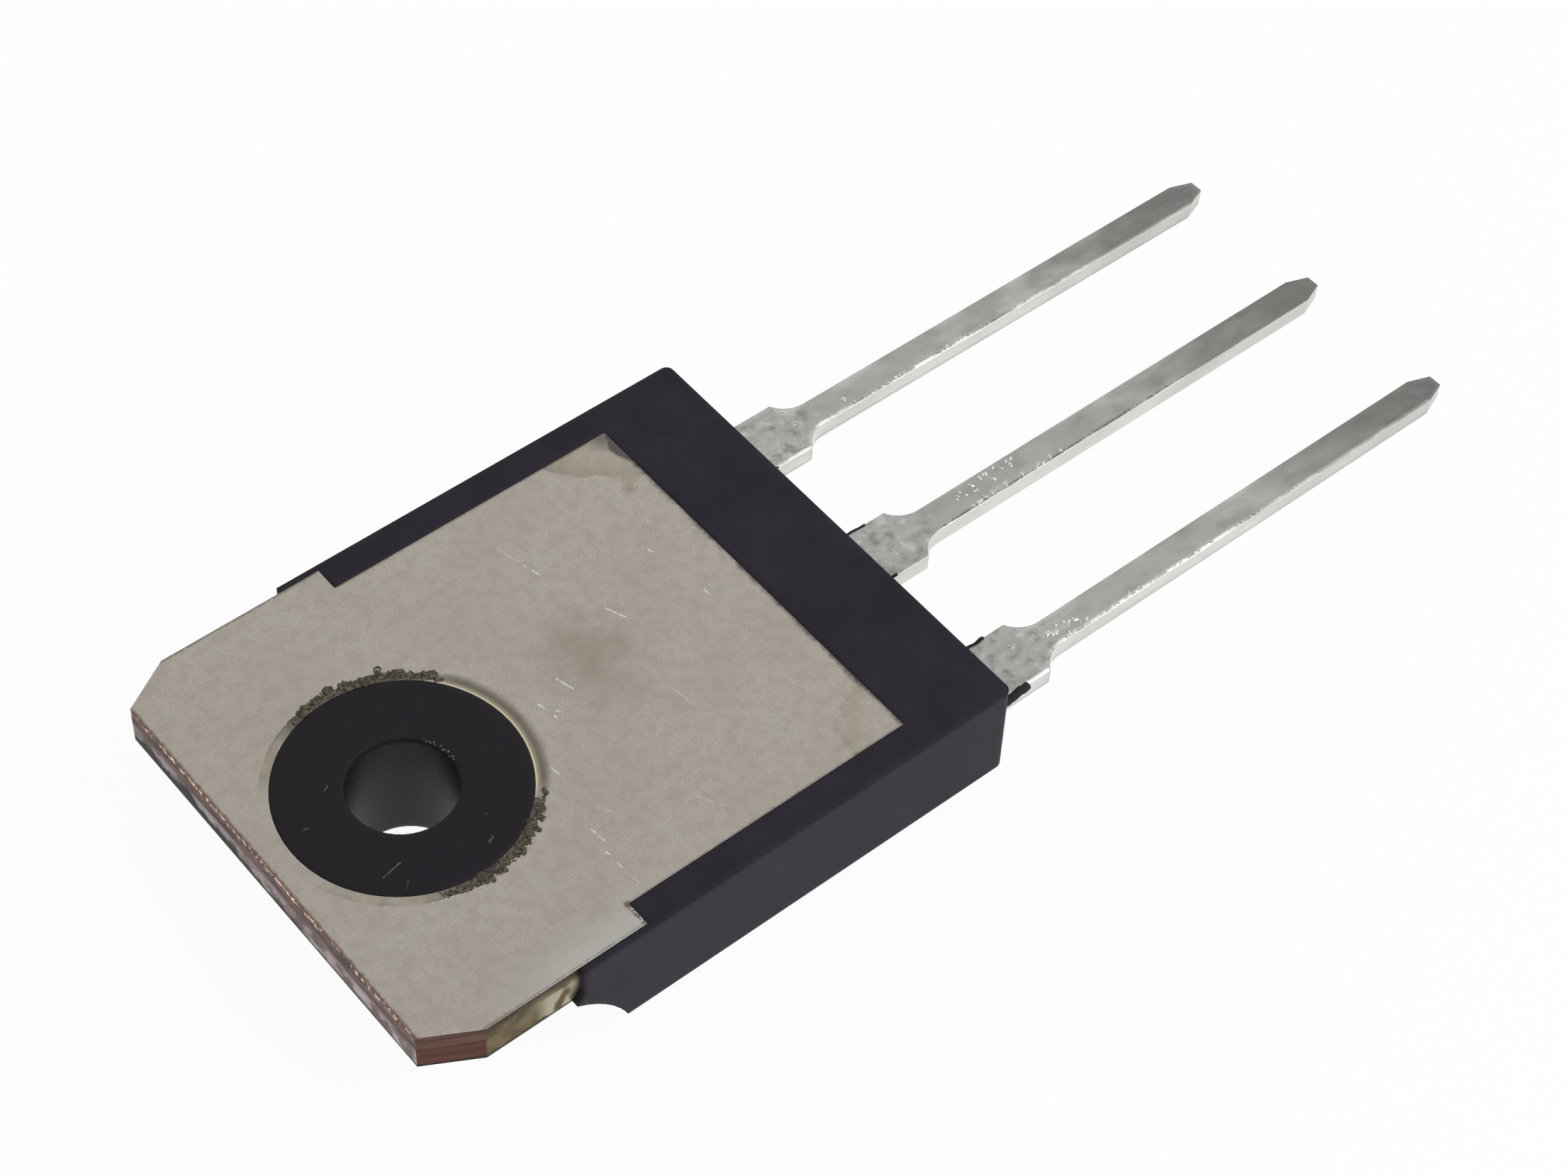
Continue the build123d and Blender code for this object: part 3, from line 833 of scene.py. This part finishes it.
# %% Flash on the lead roots
lead_top, strip_start, sunk_share = -2.8, 15.3, 0.4
strip_inputs = {"Start": "Vector", "End": "Vector", "Thick": "Float", "Seed": "Float"}
strip_tree, put = start_tree("root_flash", strip_inputs)
path = put["Start"].node("GeometryNodeCurvePrimitiveLine", {"Start": put["Start"], "End": put["End"]})
path = path.node("GeometryNodeResampleCurve", {"Curve": path, "Count": 24})
spot = path.node("GeometryNodeInputPosition", {})
noise_plugs = {"Vector": spot, "W": put["Seed"], "Scale": 3 / mm, "Detail": 1.0}
wobble = spot.node("ShaderNodeTexNoise", noise_plugs, out="Color", noise_dimensions="4D")
share = path.node("GeometryNodeSplineParameter", {}, out="Factor")
offset = wobble.vector("SUBTRACT", wobble, noise_middle).scaled(put["Thick"] * 2.0)
path = path.node("GeometryNodeSetPosition", {"Geometry": path, "Offset": offset})
girth = (1 - 0.9 * rise(share, 0.55, 1.0)) * (0.4 + 1.2 * parts_of(wobble)[0])
path = path.node("GeometryNodeSetCurveRadius", {"Curve": path, "Radius": girth})
ring = path.node("GeometryNodeCurvePrimitiveCircle", {"Resolution": 8, "Radius": put["Thick"]})
swept = path.node("GeometryNodeCurveToMesh", {"Curve": path, "Profile Curve": ring, "Fill Caps": True})
end_tree(swept, moulding)
# Each strip: name, x of the lead's edge, y where it ends and thickness.
strips = [
    ("base_near", -4.42, 17.1, 0.03),
    ("collector_far", -1.05, 17.7, 0.045),
    ("collector_near", 1.03, 17.2, 0.05),
    ("emitter_far", 4.4, 17.65, 0.06),
    ("emitter_near", 6.52, 17.55, 0.14),
]
for seed, (name, strip_x, strip_end, thick) in enumerate(strips):
    strip_z = lead_top - sunk_share * thick
    start, end = [Vector((strip_x, strip_y, strip_z)) * mm for strip_y in (strip_start, strip_end)]
    values = {"Start": start, "End": end, "Thick": thick * mm, "Seed": 7.0 * seed}
    run_tree("root_flash_" + name, strip_tree, values)

# %% [markdown]
# Tin bubbles: where the dip was too hot, the tin froze in small beads, brighter than the rest. A tree
# lays a patch on the lead, scatters points on it and puts a low bead on each. Bump alone would give no
# glints there, so the beads are real. Each patch is where the photograph has one.

# %% Bright tin
bead_depth, bead_edge = 0.01, 0.02
bead_tin, shader, place = start_finish("tin_beads", {"Metallic": 1.0})
sheen = cloud(place, 7, 2, 0.5)
bead_colour = mix(sheen, tone(226, 226, 222), tone(246, 246, 243))
gloss = 0.12 + 0.12 * sheen
end_finish(shader, sheen, bead_depth, bead_edge, Base_Color=bead_colour, Roughness=gloss)

# %% Beads in the tin
bead_inputs = {"Middle": "Vector", "Width": "Float", "Length": "Float"}
bead_inputs.update({"Count": "Float", "Size": "Float", "Seed": "Int"})
bead_tree, put = start_tree("tin_beads", bead_inputs)
grid_plugs = {"Size X": put["Width"], "Size Y": put["Length"], "Vertices X": 2, "Vertices Y": 2}
patch = put["Width"].node("GeometryNodeMeshGrid", grid_plugs)
patch = patch.node("GeometryNodeTransform", {"Geometry": patch, "Translation": put["Middle"]})
density = put["Count"].math("DIVIDE", put["Count"], put["Width"] * put["Length"])
scatter_plugs = {"Mesh": patch, "Density": density, "Seed": put["Seed"]}
points = patch.node("GeometryNodeDistributePointsOnFaces", scatter_plugs)
bead_size = chance(points, (0.4, 0.5, 0.3), (1.0, 1.9, 0.5), put["Seed"]).scaled(put["Size"])
bead_turn = chance(points, no_turn, full_turn, put["Seed"] + 1)
placing = {"Points": points, "Instance": lump(points, bead_rounds, bead_dents)}
placing.update({"Scale": bead_size, "Rotation": bead_turn})
end_tree(points.node("GeometryNodeInstanceOnPoints", placing), bead_tin)
# Each patch: name, x and y of its middle, width, length, how many beads and their size.
patches = [
    ("base_pimple", -5.34, 20.47, 0.05, 0.05, 2, 0.09),
    ("collector_beads", -0.2, 21.7, 0.4, 2.6, 18, 0.07),
    ("collector_edge_beads", 0.38, 22.6, 0.12, 4.6, 16, 0.065),
    ("emitter_beads", 5.6, 20.0, 0.6, 1.5, 16, 0.07),
    ("emitter_edge_beads", 5.85, 21.2, 0.12, 3.4, 14, 0.06),
    ("base_edge_beads", -5.04, 23.0, 0.12, 7.0, 10, 0.055),
]
for seed, (name, middle_x, middle_y, width, length, count, size) in enumerate(patches):
    values = {"Width": width * mm, "Length": length * mm, "Size": size * mm}
    values["Middle"] = Vector((middle_x, middle_y, lead_top)) * mm
    values.update({"Count": float(count), "Seed": seed})
    run_tree("tin_" + name, bead_tree, values)

# %% [markdown]
# Close out.
